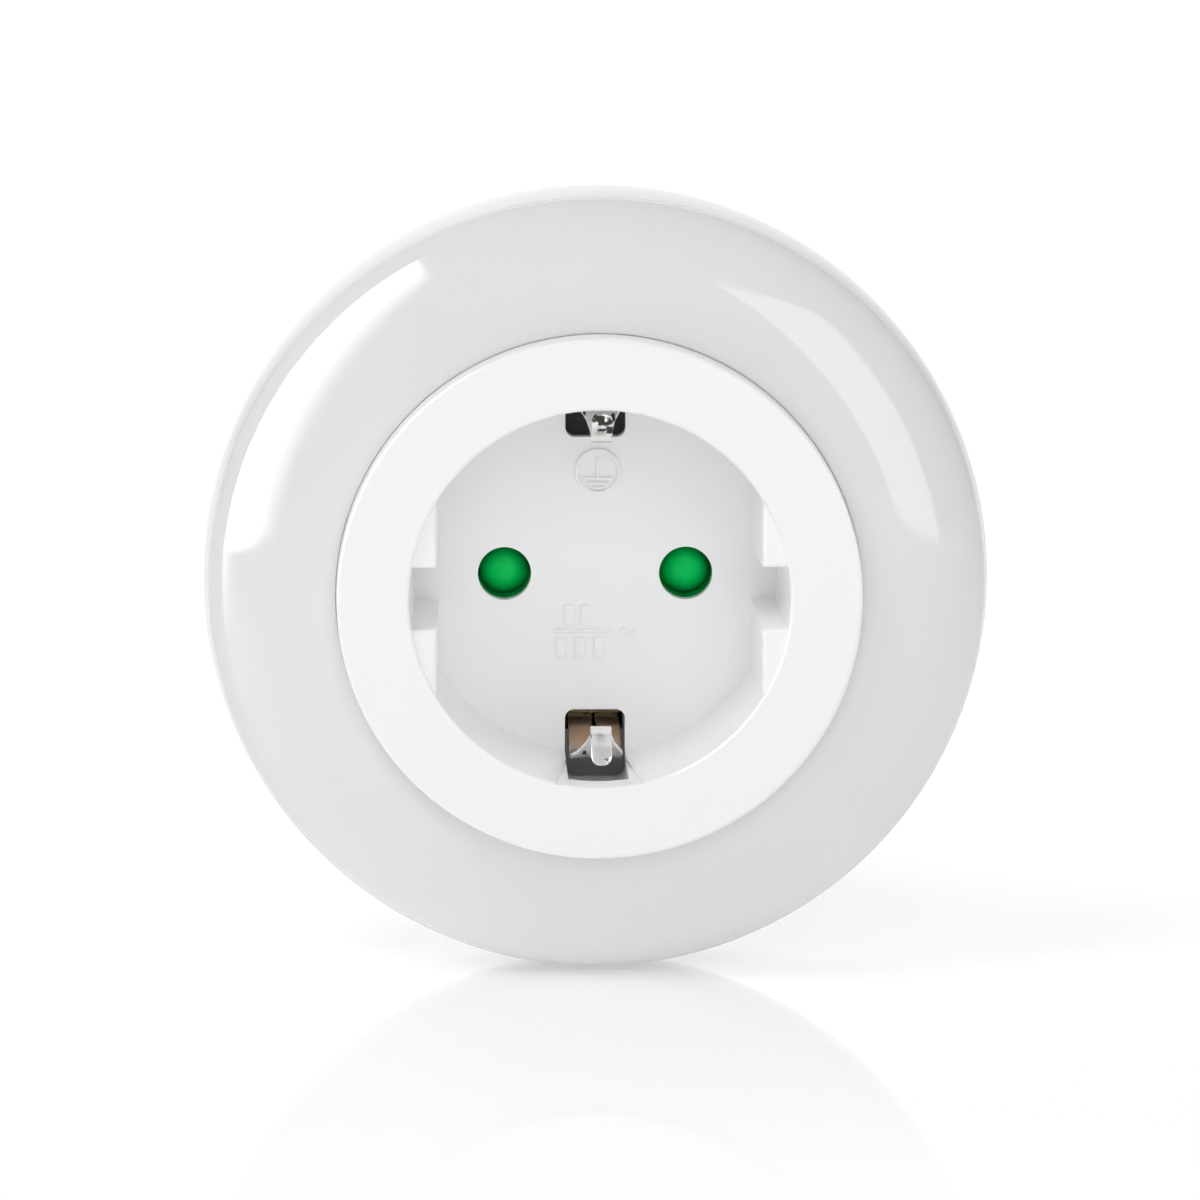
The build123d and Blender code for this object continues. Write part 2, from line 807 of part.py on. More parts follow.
# Light ring: round circuit board, scalloped around the cup's bosses
with BuildPart() as led_board:
    with BuildSketch(Plane.XZ.offset(board_back)):
        Circle(board_outer)
        Circle(board_inner, mode=Mode.SUBTRACT)
        with PolarLocations(boss_ring, 4, start_angle=45):
            Circle(boss_radius + 2 * fit_clearance, mode=Mode.SUBTRACT)
        with PolarLocations(post_ring, post_count, start_angle=90):
            Circle(board_screw_shank + hole_clearance, mode=Mode.SUBTRACT)
    extrude(amount=board_thickness)
finish(led_board.part, "led_board")


# Light-emitting diodes, evenly spaced around the ring
with BuildPart() as leds:
    with BuildSketch(Plane.XZ.offset(board_front)):
        with PolarLocations(led_ring, led_count, start_angle=180 / led_count):
            Rectangle(led_width, led_length)
    extrude(amount=led_height)
finish(leds.part, "leds")


# Film capacitor on the back of the board, at the bottom
with BuildPart() as film_capacitor:
    with BuildSketch(outward(-90, led_ring, board_back)):
        RectangleRounded(film_size[1], film_size[0], film_edge)
    extrude(amount=-film_size[2])
finish(film_capacitor.part, "film_capacitor")


# Smoothing capacitor, a can standing on the back of the board
with BuildPart() as smoothing_capacitor:
    with BuildSketch(outward(180, led_ring, board_back)):
        Circle(smoothing_radius)
    extrude(amount=-smoothing_height)
    fillet(smoothing_capacitor.faces().sort_by(Axis.Y)[-1].edges(), smoothing_edge)
finish(smoothing_capacitor.part, "smoothing_capacitor")


# Bridge rectifier and fusible resistor on the back of the board, at the right
with BuildPart() as bridge_rectifier:
    with BuildSketch(outward(0, led_ring, board_back)):
        Rectangle(rectifier_size[0], rectifier_size[1])
    extrude(amount=-rectifier_size[2])
finish(bridge_rectifier.part, "bridge_rectifier")

with BuildPart() as fusible_resistor:
    fuse_place = outward(22, led_ring, board_back - fuse_radius)
    with BuildSketch(Plane(fuse_place.origin, x_dir=fuse_place.z_dir, z_dir=fuse_place.y_dir)):
        Circle(fuse_radius)
    extrude(amount=fuse_length / 2, both=True)
finish(fusible_resistor.part, "fusible_resistor")


# Chip resistors beside the diodes, and the transistor and light sensor at the bottom of the ring
with BuildPart() as chip_resistors:
    with BuildSketch(Plane.XZ.offset(board_front)):
        with PolarLocations(board_inner + chip_from_edge, chip_count):
            Rectangle(chip_size[1], chip_size[0])
    extrude(amount=chip_size[2])
finish(chip_resistors.part, "chip_resistors")

with BuildPart() as transistor:
    with BuildSketch(outward(-90, board_inner + chip_from_edge, board_front)):
        Rectangle(transistor_size[1], transistor_size[0])
    extrude(amount=transistor_size[2])
finish(transistor.part, "transistor")

with BuildPart() as light_sensor:
    with BuildSketch(outward(-90, led_ring + sensor_offset, board_front)):
        Circle(sensor_radius)
    extrude(amount=sensor_height)
    fillet(light_sensor.faces().sort_by(Axis.Y)[0].edges(), sensor_edge)
finish(light_sensor.part, "light_sensor")


def make_screws(seat, ring, count, start, direction, head, head_height, shank, length):
    """A ring of cross-slotted screws whose heads rest at the seat's height."""
    with BuildPart() as screws:
        with BuildSketch(Plane.XZ.offset(seat)):
            with PolarLocations(ring, count, start_angle=start):
                Circle(head)
        extrude(amount=-direction * head_height)
        with BuildSketch(Plane.XZ.offset(seat)):
            with PolarLocations(ring, count, start_angle=start):
                Circle(shank)
        extrude(amount=direction * length)
        with BuildSketch(Plane.XZ.offset(seat - direction * head_height)):
            with PolarLocations(ring, count, start_angle=start):
                Rectangle(drive_slot, 2 * drive_share * head)
                Rectangle(2 * drive_share * head, drive_slot)
        extrude(amount=direction * drive_depth, mode=Mode.SUBTRACT)
    return screws.part


case_screws = make_screws(
    counterbore_depth, boss_ring, 4, 45, 1,
    case_screw_head, case_screw_head_height, case_screw_shank, case_screw_length,
)
finish(case_screws, "case_screws")

board_screws = make_screws(
    board_front, post_ring, post_count, 90, -1,
    board_screw_head, board_screw_head_height, board_screw_shank, board_screw_length,
)
finish(board_screws, "board_screws")
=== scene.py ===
import json
import math
import bpy
from mathutils import Matrix, Vector


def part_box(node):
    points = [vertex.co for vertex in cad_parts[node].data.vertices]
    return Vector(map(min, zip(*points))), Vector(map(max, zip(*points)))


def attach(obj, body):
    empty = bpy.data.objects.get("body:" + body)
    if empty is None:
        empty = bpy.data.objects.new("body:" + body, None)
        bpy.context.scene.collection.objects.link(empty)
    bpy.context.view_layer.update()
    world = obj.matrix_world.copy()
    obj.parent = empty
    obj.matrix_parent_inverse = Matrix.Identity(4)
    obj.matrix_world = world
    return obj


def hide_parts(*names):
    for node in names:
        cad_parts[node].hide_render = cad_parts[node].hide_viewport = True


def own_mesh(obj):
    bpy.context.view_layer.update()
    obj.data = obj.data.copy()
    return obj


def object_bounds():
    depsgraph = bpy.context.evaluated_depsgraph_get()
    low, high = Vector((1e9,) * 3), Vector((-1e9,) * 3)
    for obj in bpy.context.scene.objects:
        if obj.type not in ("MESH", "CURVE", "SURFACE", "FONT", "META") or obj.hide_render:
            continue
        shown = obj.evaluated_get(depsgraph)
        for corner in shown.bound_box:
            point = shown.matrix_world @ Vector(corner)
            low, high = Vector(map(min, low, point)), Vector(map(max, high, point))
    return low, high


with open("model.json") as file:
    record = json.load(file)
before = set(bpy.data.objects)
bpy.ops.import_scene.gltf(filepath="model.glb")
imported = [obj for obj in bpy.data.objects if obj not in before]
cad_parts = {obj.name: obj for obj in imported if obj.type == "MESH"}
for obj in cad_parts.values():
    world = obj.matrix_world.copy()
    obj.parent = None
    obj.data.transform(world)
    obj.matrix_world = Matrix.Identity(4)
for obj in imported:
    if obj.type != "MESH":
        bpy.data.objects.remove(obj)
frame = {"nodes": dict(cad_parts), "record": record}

# everything is in metres: the wall plane is y = 0, the socket faces -y,
# and a height is a distance in front of the wall
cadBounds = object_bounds()
cadNodes = frame["nodes"]
frontUp = (math.pi / 2, 0, 0)       # turns a flat primitive to face the room
facingRoom = -0.9       # a face whose normal's y is below this faces the room
mergeDistance = 1e-7


def clearSelection():
    if bpy.context.object and bpy.context.object.mode != "OBJECT":
        bpy.ops.object.mode_set(mode="OBJECT")
    bpy.ops.object.select_all(action="DESELECT")


def pick(piece):
    clearSelection()
    piece.select_set(True)
    bpy.context.view_layer.objects.active = piece


def startEditing(piece):
    pick(piece)
    bpy.ops.object.mode_set(mode="EDIT")


def settle(piece, name, smoothAngle=40):
    # names the piece, bakes its place into its mesh and shades it
    pick(piece)
    piece.name = name
    piece.data.name = name
    bpy.ops.object.transform_apply(location=True, rotation=True, scale=True)
    bpy.ops.object.shade_smooth_by_angle(angle=math.radians(smoothAngle))
    piece.select_set(False)
    return piece


def ringStack(rings, segments, place=(0, 0, 0), closed=True):
    # a turned shape about an axis along y, from (radius, height) pairs
    x, y, z = place
    radius, height = rings[0]
    clearSelection()
    bpy.ops.mesh.primitive_circle_add(
        vertices=segments, radius=radius, fill_type="NOTHING",
        location=(x, y - height, z), rotation=frontUp)
    piece = bpy.context.object
    bpy.ops.object.mode_set(mode="EDIT")
    bpy.ops.mesh.select_all(action="SELECT")
    for newRadius, newHeight in rings[1:]:
        bpy.ops.mesh.extrude_region_move(TRANSFORM_OT_translate={"value": (0, height - newHeight, 0)})
        scale = newRadius / radius
        bpy.ops.transform.resize(value=(scale, 1, scale), center_override=(x, y - newHeight, z))
        radius, height = newRadius, newHeight
    bpy.ops.mesh.select_all(action="DESELECT")
    bpy.ops.mesh.select_non_manifold()
    if closed:
        bpy.ops.mesh.bridge_edge_loops()
    else:
        bpy.ops.mesh.edge_face_add()
    bpy.ops.mesh.select_all(action="SELECT")
    bpy.ops.mesh.remove_doubles(threshold=mergeDistance)
    bpy.ops.mesh.normals_make_consistent(inside=False)
    bpy.ops.object.mode_set(mode="OBJECT")
    return piece


def arcRings(centre, across, along, start, end, steps):
    # points on an ellipse's arc, as (radius, height) pairs; angles in degrees from the radius direction
    rings = []
    for step in range(steps + 1):
        angle = math.radians(start + (end - start) * step / steps)
        rings.append((centre[0] + across * math.cos(angle), centre[1] + along * math.sin(angle)))
    return rings


def nodeMaterial(name):
    material = bpy.data.materials.new(name)
    material.use_nodes = True
    nodes = material.node_tree.nodes
    shader = nodes["Principled BSDF"]
    return material, nodes, material.node_tree.links, shader


# a colour mix's own sockets, which share their names with others
mixShare, mixFirst, mixSecond, mixOut = 0, 6, 7, 2


def brownWithPaintedLight(nodes, links, shader, toneAndPaintedReflection, place, look):
    # a brown, less metallic colour towards the wall, which clears to the nickel towards the room: partly the
    # clip's own brown, partly painted light, made light for the clip's foot in the shaded window
    apart = nodes.new("ShaderNodeSeparateXYZ")
    links.new(place.outputs["Object"], apart.inputs["Vector"])
    depth = nodes.new("ShaderNodeMapRange")
    depth.inputs["From Min"].default_value = -look["clearHeight"]
    depth.inputs["From Max"].default_value = -look["deepHeight"]
    links.new(apart.outputs["Y"], depth.inputs["Value"])
    blend = nodes.new("ShaderNodeMix")
    blend.data_type = "RGBA"
    blend.inputs[mixSecond].default_value = (*look["deepBrownPaintedLight"], 1)
    links.new(depth.outputs["Result"], blend.inputs[mixShare])
    links.new(toneAndPaintedReflection.outputs["Color"], blend.inputs[mixFirst])
    links.new(blend.outputs[mixOut], shader.inputs["Base Color"])
    bare = nodes.new("ShaderNodeMapRange")
    bare.inputs["To Min"].default_value = look["metallic"]
    bare.inputs["To Max"].default_value = look["deepMetallic"]
    links.new(depth.outputs["Result"], bare.inputs["Value"])
    links.new(bare.outputs["Result"], shader.inputs["Metallic"])


# the part of a noise's range that the roughness is spread over, and how fine the two noises are
noiseLow, noiseHigh = 0.3, 0.7
cloudDetail, grainDetail = 4, 3


def finishMaterial(name, look):
    # one plain finish: two colours, close for most finishes, a spread of roughness and a fine relief,
    # all from noise on object coordinates; on the nickel the two colours are far apart, and its near-black
    # patches are a painted reflection
    material, nodes, links, shader = nodeMaterial(name)
    place = nodes.new("ShaderNodeTexCoord")
    stretch = nodes.new("ShaderNodeMapping")
    stretch.inputs["Scale"].default_value = look.get("stretch", (1, 1, 1))
    links.new(place.outputs["Object"], stretch.inputs["Vector"])

    cloud = nodes.new("ShaderNodeTexNoise")
    cloud.inputs["Scale"].default_value = look["cloudScale"]
    cloud.inputs["Detail"].default_value = cloudDetail
    links.new(stretch.outputs["Vector"], cloud.inputs["Vector"])

    # the two colours spread over the cloud noise; on the nickel the dark one is a painted reflection of the
    # dark camera lens
    toneAndPaintedReflection = nodes.new("ShaderNodeValToRGB")
    toneAndPaintedReflection.color_ramp.elements[0].position = look.get("tintLow", 0.35)
    toneAndPaintedReflection.color_ramp.elements[1].position = look.get("tintHigh", 0.65)
    toneAndPaintedReflection.color_ramp.elements[0].color = (*look["colorA"], 1)
    toneAndPaintedReflection.color_ramp.elements[1].color = (*look["colorB"], 1)
    links.new(cloud.outputs["Fac"], toneAndPaintedReflection.inputs["Fac"])
    links.new(toneAndPaintedReflection.outputs["Color"], shader.inputs["Base Color"])
    # on the nickel: painted light towards the wall, over the clip's own brown
    if "deepBrownPaintedLight" in look:
        brownWithPaintedLight(nodes, links, shader, toneAndPaintedReflection, place, look)

    grain = nodes.new("ShaderNodeTexNoise")
    grain.inputs["Scale"].default_value = look["grainScale"]
    grain.inputs["Detail"].default_value = grainDetail
    links.new(stretch.outputs["Vector"], grain.inputs["Vector"])

    gloss = nodes.new("ShaderNodeMapRange")
    gloss.inputs["From Min"].default_value = noiseLow
    gloss.inputs["From Max"].default_value = noiseHigh
    gloss.inputs["To Min"].default_value = look["roughness"][0]
    gloss.inputs["To Max"].default_value = look["roughness"][1]
    links.new(grain.outputs["Fac"], gloss.inputs["Value"])
    links.new(gloss.outputs["Result"], shader.inputs["Roughness"])

    relief = nodes.new("ShaderNodeBump")
    relief.inputs["Strength"].default_value = look["relief"]
    relief.inputs["Distance"].default_value = look.get("reliefDepth", 0.00004)
    links.new(grain.outputs["Fac"], relief.inputs["Height"])
    links.new(relief.outputs["Normal"], shader.inputs["Normal"])

    shader.inputs["Metallic"].default_value = look.get("metallic", 0)
    shader.inputs["IOR"].default_value = look.get("ior", 1.5)
    shader.inputs["Alpha"].default_value = look.get("alpha", 1)
    if "subsurface" in look:
        shader.inputs["Subsurface Weight"].default_value = look["subsurface"]
        shader.inputs["Subsurface Radius"].default_value = look["subsurfaceRadius"]
        shader.inputs["Subsurface Scale"].default_value = look["subsurfaceScale"]
    return material


finishes = {
    "socket_white": {
        "colorA": (0.942, 0.943, 0.946), "colorB": (0.952, 0.953, 0.955), "cloudScale": 25,
        "roughness": (0.275, 0.290), "grainScale": 40, "relief": 0.01, "reliefDepth": 0.00002,
    },
    "diffuser_milk": {
        "colorA": (0.812, 0.808, 0.803), "colorB": (0.832, 0.829, 0.826), "cloudScale": 30,
        "roughness": (0.07, 0.09), "grainScale": 60, "relief": 0.01, "reliefDepth": 0.00002,
        "subsurface": 0.5, "subsurfaceRadius": (1, 0.9, 0.8), "subsurfaceScale": 0.003,
    },
    "housing_white": {
        "colorA": (0.840, 0.840, 0.845), "colorB": (0.860, 0.860, 0.864), "cloudScale": 45,
        "roughness": (0.20, 0.22), "grainScale": 40, "relief": 0.01, "reliefDepth": 0.00002,
    },
    "shutter_green": {
        "colorA": (0.000, 0.580, 0.100), "colorB": (0.000, 0.700, 0.140), "cloudScale": 240,
        "roughness": (0.30, 0.42), "grainScale": 2000, "relief": 0.05, "ior": 1.2,
    },
    "cage_grey": {
        "colorA": (0.300, 0.305, 0.310), "colorB": (0.350, 0.355, 0.360), "cloudScale": 200,
        "roughness": (0.40, 0.55), "grainScale": 2500, "relief": 0.12,
    },
    "carrier_ivory": {
        "colorA": (0.620, 0.590, 0.500), "colorB": (0.680, 0.650, 0.570), "cloudScale": 200,
        "roughness": (0.38, 0.52), "grainScale": 2500, "relief": 0.12,
    },
    "spring_steel": {
        "colorA": (0.520, 0.520, 0.530), "colorB": (0.640, 0.640, 0.650), "cloudScale": 1500,
        "roughness": (0.20, 0.34), "grainScale": 6000, "metallic": 1, "relief": 0.1,
    },
    "contact_brass": {
        "colorA": (0.640, 0.400, 0.130), "colorB": (0.780, 0.560, 0.240), "cloudScale": 350,
        "stretch": (1, 0.25, 1),
        "roughness": (0.22, 0.38), "grainScale": 2600, "metallic": 1, "relief": 0.1,
    },
    "yoke_brass": {
        "colorA": (0.560, 0.370, 0.150), "colorB": (0.760, 0.580, 0.300), "cloudScale": 260,
        "stretch": (1, 0.3, 1),
        "roughness": (0.22, 0.40), "grainScale": 2600, "metallic": 1, "relief": 0.1,
    },
    "pin_nickel": {
        "colorA": (0.640, 0.620, 0.580), "colorB": (0.740, 0.725, 0.695), "cloudScale": 240,
        "stretch": (1, 0.15, 1),
        "roughness": (0.14, 0.26), "grainScale": 2200, "metallic": 1, "relief": 0.06,
    },
    # nickel: the near-black colour, in narrow noise patches, is a painted reflection of the dark camera lens
    "clip_nickel": {
        "colorA": (0.060, 0.055, 0.050), "colorB": (0.960, 0.950, 0.940), "cloudScale": 520,
        "tintLow": 0.39, "tintHigh": 0.43, "stretch": (1, 0.45, 1),
        "roughness": (0.14, 0.26), "grainScale": 2600, "metallic": 1, "relief": 0.20,
        # towards the wall: partly the clip's own brown, partly painted light on the foot in the shaded
        # window
        "deepBrownPaintedLight": (0.700, 0.480, 0.330), "deepHeight": 0.0075, "clearHeight": 0.0098,
        "deepMetallic": 0.15,
    },
    "board_white": {
        "colorA": (0.780, 0.790, 0.770), "colorB": (0.840, 0.850, 0.835), "cloudScale": 320,
        "roughness": (0.25, 0.40), "grainScale": 3000, "relief": 0.12,
    },
    "led_phosphor": {
        "colorA": (0.800, 0.560, 0.080), "colorB": (0.880, 0.680, 0.160), "cloudScale": 900,
        "roughness": (0.15, 0.25), "grainScale": 4000, "relief": 0.05,
    },
    "film_cap_red": {
        "colorA": (0.300, 0.030, 0.018), "colorB": (0.380, 0.050, 0.025), "cloudScale": 260,
        "roughness": (0.12, 0.22), "grainScale": 900, "relief": 0.15,
    },
    "can_black": {
        "colorA": (0.012, 0.012, 0.020), "colorB": (0.022, 0.022, 0.034), "cloudScale": 500,
        "roughness": (0.22, 0.34), "grainScale": 2000, "relief": 0.10,
    },
    "chip_black": {
        "colorA": (0.014, 0.014, 0.015), "colorB": (0.030, 0.030, 0.031), "cloudScale": 1500,
        "roughness": (0.45, 0.62), "grainScale": 5000, "relief": 0.20,
    },
    "fuse_green": {
        "colorA": (0.080, 0.210, 0.140), "colorB": (0.120, 0.270, 0.190), "cloudScale": 500,
        "roughness": (0.22, 0.36), "grainScale": 1800, "relief": 0.20,
    },
    "sensor_clear": {
        "colorA": (0.800, 0.850, 0.880), "colorB": (0.850, 0.890, 0.910), "cloudScale": 500,
        "roughness": (0.05, 0.10), "grainScale": 1800, "relief": 0.02, "alpha": 0.45,
    },
    "lead_brown": {
        "colorA": (0.085, 0.030, 0.012), "colorB": (0.120, 0.045, 0.018), "cloudScale": 500,
        "roughness": (0.34, 0.46), "grainScale": 2600, "relief": 0.12,
    },
    "lead_blue": {
        "colorA": (0.012, 0.070, 0.300), "colorB": (0.020, 0.095, 0.380), "cloudScale": 500,
        "roughness": (0.34, 0.46), "grainScale": 2600, "relief": 0.12,
    },
    "screw_zinc": {
        "colorA": (0.620, 0.620, 0.630), "colorB": (0.700, 0.700, 0.710), "cloudScale": 200,
        "roughness": (0.22, 0.30), "grainScale": 3600, "metallic": 1, "relief": 0.04,
    },
}

materials = {slotName: finishMaterial(slotName, look) for slotName, look in finishes.items()}
for part in frame["record"]["subparts"]:
    for meshSlot in cadNodes[part["node"]].material_slots:
        meshSlot.material = materials[part["material_slot"]]
print("materials ready:", len(materials))


def dress(piece, slotName, body, *nodes):
    # gives a piece its finish and its body, and hides the CAD nodes it stands for
    piece.data.materials.clear()
    piece.data.materials.append(materials[slotName])
    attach(piece, body)
    if nodes:
        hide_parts(*nodes)


# diffuser: a dome that stands on its spigot, with its arcs given in degrees from the radius
diffuser = {
    "holeRadius": 0.02733, "outerRadius": 0.0406, "rimHeight": 0.01425, "rise": 0.00775, "wall": 0.002,
    "spigotOuter": 0.0391, "spigotInner": 0.0379, "spigotBottom": 0.01095, "edge": 0.00025,
    "segments": 192, "steps": 28, "edgeSteps": 4, "smoothAngle": 50,
    "outerArc": (89, 0), "innerArc": (12, 90), "holeArc": (180, 95),
}


def makeDiffuser(size):
    centre = (size["holeRadius"], size["rimHeight"])
    width = size["outerRadius"] - size["holeRadius"]
    innerWidth = width - size["wall"]
    innerRise = size["rise"] - size["wall"]
    edge = size["edge"]
    outer = arcRings(centre, width, size["rise"], *size["outerArc"], size["steps"])
    inner = arcRings(centre, innerWidth, innerRise, *size["innerArc"], size["steps"] // 2)
    holeCentre = (size["holeRadius"] + edge, size["rimHeight"] + size["rise"] - edge)
    holeEdge = arcRings(holeCentre, edge, edge, *size["holeArc"], size["edgeSteps"])
    rimEdge = [
        (size["outerRadius"], size["rimHeight"] + edge),
        (size["outerRadius"] - edge, size["rimHeight"]),
    ]
    spigot = [
        (size["spigotOuter"], size["rimHeight"]),
        (size["spigotOuter"], size["spigotBottom"] + edge),
        (size["spigotOuter"] - edge, size["spigotBottom"]),
        (size["spigotInner"], size["spigotBottom"]),
        (size["spigotInner"], size["rimHeight"] + edge),
    ]
    rings = holeEdge + outer[:-1] + rimEdge + spigot + inner
    return ringStack(rings, size["segments"])


diffuserPiece = settle(makeDiffuser(diffuser), "diffuserDome", diffuser["smoothAngle"])
dress(diffuserPiece, "diffuser_milk", "housing", "diffuser")
print("diffuser made")


# marks raised on the recess floor: an earth sign, and a rating in plain blocks
marks = {
    "floorHeight": 0.008, "sunk": 0.0001, "proud": 0.00030, "line": 0.00038, "draft": 0.72, "edgeShare": 0.2,
    "edgeSegments": 2,
    "ringPlace": (0.00025, 0.0108), "ringRadius": 0.00245, "ringSegments": 96,
    "stroke": (0.00025, 0.01006, 0.01235),
    "earthBars": [(0.0016, 0.01006), (0.0011, 0.00955), (0.00065, 0.00904)],
    "ratingBar": (-0.00435, 0.00187, -0.00608),
    "upperBlocks": [-0.0027, -0.0010], "upperBlockHeight": -0.0044,
    "lowerBlocks": [-0.0036, -0.0016, 0.0004], "lowerBlockHeight": -0.0079,
    "blockWidth": 0.0011, "blockTall": 0.0022,
    "waveStart": (0.00265, -0.0062), "waveLength": 0.0016, "waveRise": 0.0003, "waveSteps": 12,
}


def raisedBar(size, x, z, width, tall):
    # a low bar on the recess floor, with a drafted top and rounded edges
    clearSelection()
    middle = size["floorHeight"] + (size["proud"] - size["sunk"]) / 2
    bpy.ops.mesh.primitive_cube_add(
        size=1, location=(x, -middle, z), scale=(width, size["proud"] + size["sunk"], tall))
    bar = bpy.context.object
    bpy.ops.object.transform_apply(location=True, rotation=True, scale=True)
    startEditing(bar)
    bpy.ops.mesh.select_all(action="DESELECT")
    bpy.ops.object.mode_set(mode="OBJECT")
    for face in bar.data.polygons:
        face.select = face.normal.y < facingRoom
    bpy.ops.object.mode_set(mode="EDIT")
    trim = size["line"] * (1 - size["draft"])
    bpy.ops.transform.resize(
        value=(1 - trim / width, 1, 1 - trim / tall), center_override=(x, -size["floorHeight"], z))
    bpy.ops.mesh.select_all(action="SELECT")
    bpy.ops.mesh.bevel(
        offset=size["line"] * size["edgeShare"], segments=size["edgeSegments"], affect="EDGES")
    bpy.ops.object.mode_set(mode="OBJECT")
    return bar


def raisedRing(size):
    x, z = size["ringPlace"]
    outer = size["ringRadius"]
    inner = outer - size["line"]
    low = size["floorHeight"] - size["sunk"]
    high = size["floorHeight"] + size["proud"]
    edge = size["line"] * size["edgeShare"]
    rings = [
        (outer, low), (outer, high - edge), (outer - edge, high),
        (inner + edge, high), (inner, high - edge), (inner, low),
    ]
    return ringStack(rings, size["ringSegments"], (x, 0, z))


def raisedWave(size):
    # one sine wave, drawn out from a small square
    x, z = size["waveStart"]
    step = size["waveLength"] / size["waveSteps"]
    middle = size["floorHeight"] + (size["proud"] - size["sunk"]) / 2
    clearSelection()
    bpy.ops.mesh.primitive_plane_add(size=1, location=(x, -middle, z), rotation=(0, math.pi / 2, 0))
    wave = bpy.context.object
    wave.scale = (size["line"], size["proud"] + size["sunk"], 1)
    bpy.ops.object.transform_apply(location=True, rotation=True, scale=True)
    bpy.ops.object.mode_set(mode="EDIT")
    bpy.ops.mesh.select_all(action="SELECT")
    before = 0
    for number in range(1, size["waveSteps"] + 1):
        rise = size["waveRise"] * math.sin(2 * math.pi * number / size["waveSteps"])
        bpy.ops.mesh.extrude_region_move(TRANSFORM_OT_translate={"value": (step, 0, rise - before)})
        before = rise
    bpy.ops.mesh.select_all(action="SELECT")
    bpy.ops.mesh.normals_make_consistent(inside=False)
    bpy.ops.object.mode_set(mode="OBJECT")
    return wave


def joinPieces(pieces):
    clearSelection()
    for piece in pieces:
        piece.select_set(True)
    bpy.context.view_layer.objects.active = pieces[0]
    bpy.ops.object.join()
    return bpy.context.object


def makeEarthMark(size):
    x, low, high = size["stroke"]
    bars = [raisedBar(size, x, z, 2 * half, size["line"]) for half, z in size["earthBars"]]
    stroke = raisedBar(size, x, (low + high) / 2, size["line"], high - low)
    return joinPieces([raisedRing(size), stroke, *bars])


def makeRatingMark(size):
    start, end, z = size["ratingBar"]
    line = raisedBar(size, (start + end) / 2, z, end - start, size["line"])
    upper = [raisedBar(size, x, size["upperBlockHeight"], size["blockWidth"], size["blockTall"])
             for x in size["upperBlocks"]]
    lower = [raisedBar(size, x, size["lowerBlockHeight"], size["blockWidth"], size["blockTall"])
             for x in size["lowerBlocks"]]
    return joinPieces([line, raisedWave(size), *upper, *lower])


dress(settle(makeEarthMark(marks), "earthMark"), "socket_white", "housing")
dress(settle(makeRatingMark(marks), "ratingMark"), "socket_white", "housing")
print("floor marks made")


# shutter: a bridge between two pads, each with a domed nose behind its pin hole
shutter = {
    "noseRadius": 0.0027, "noseTop": 0.0060, "noseFoot": 0.0040, "segments": 64, "steps": 12,
    "padHalf": 0.0033, "padFront": 0.0040, "edge": 0.0004, "bridgeFront": 0.0062, "bridgeLow": 0.0034,
    "pegRadius": 0.0012, "pegLength": 0.0015, "pegSides": 32, "noseArc": (0, 88),
    "edgeSegments": 3, "pegEdgeSegments": 2,
}


def roundedBlock(low, high, edge, segments):
    clearSelection()
    middle = [(a + b) / 2 for a, b in zip(low, high)]
    bpy.ops.mesh.primitive_cube_add(size=1, location=middle, scale=[b - a for a, b in zip(low, high)])
    block = bpy.context.object
    bpy.ops.object.transform_apply(location=True, rotation=True, scale=True)
    startEditing(block)
    bpy.ops.mesh.select_all(action="SELECT")
    bpy.ops.mesh.bevel(offset=edge, segments=segments, affect="EDGES")
    bpy.ops.object.mode_set(mode="OBJECT")
    return block


def makeShutter(size):
    low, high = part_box("shutter")
    back = high[1]
    halfHeight = high[2]
    pieces = []
    for side in (-1, 1):
        x = side * (high[0] - size["padHalf"])
        padLow = (x - size["padHalf"], -size["padFront"], -halfHeight)
        padHigh = (x + size["padHalf"], back, halfHeight)
        pieces.append(roundedBlock(padLow, padHigh, size["edge"], size["edgeSegments"]))
        rise = size["noseTop"] - size["noseFoot"]
        dome = arcRings((0, size["noseFoot"]), size["noseRadius"], rise, *size["noseArc"], size["steps"])
        foot = [(size["noseRadius"], size["noseFoot"] - size["edge"] * 2)]
        pieces.append(ringStack(foot + dome, size["segments"], (x, 0, 0), False))
    inner = high[0] - 2 * size["padHalf"] + size["edge"]
    bridgeLow = (-inner, -size["bridgeFront"], -size["bridgeLow"])
    pieces.append(roundedBlock(bridgeLow, (inner, back, 0), size["edge"], size["edgeSegments"]))
    springLow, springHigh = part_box("shutter_spring")
    clearSelection()
    bpy.ops.mesh.primitive_cylinder_add(
        vertices=size["pegSides"], radius=size["pegRadius"], depth=2 * size["pegLength"],
        location=(0, (springLow[1] + springHigh[1]) / 2, -size["bridgeLow"]))
    peg = bpy.context.object
    bpy.ops.object.mode_set(mode="EDIT")
    bpy.ops.mesh.select_all(action="SELECT")
    bpy.ops.mesh.bevel(offset=size["edge"] / 2, segments=size["pegEdgeSegments"], affect="EDGES")
    bpy.ops.object.mode_set(mode="OBJECT")
    pieces.append(peg)
    return joinPieces(pieces)


dress(settle(makeShutter(shutter), "shutterSlider"), "shutter_green", "shutter", "shutter")
print("shutter made")


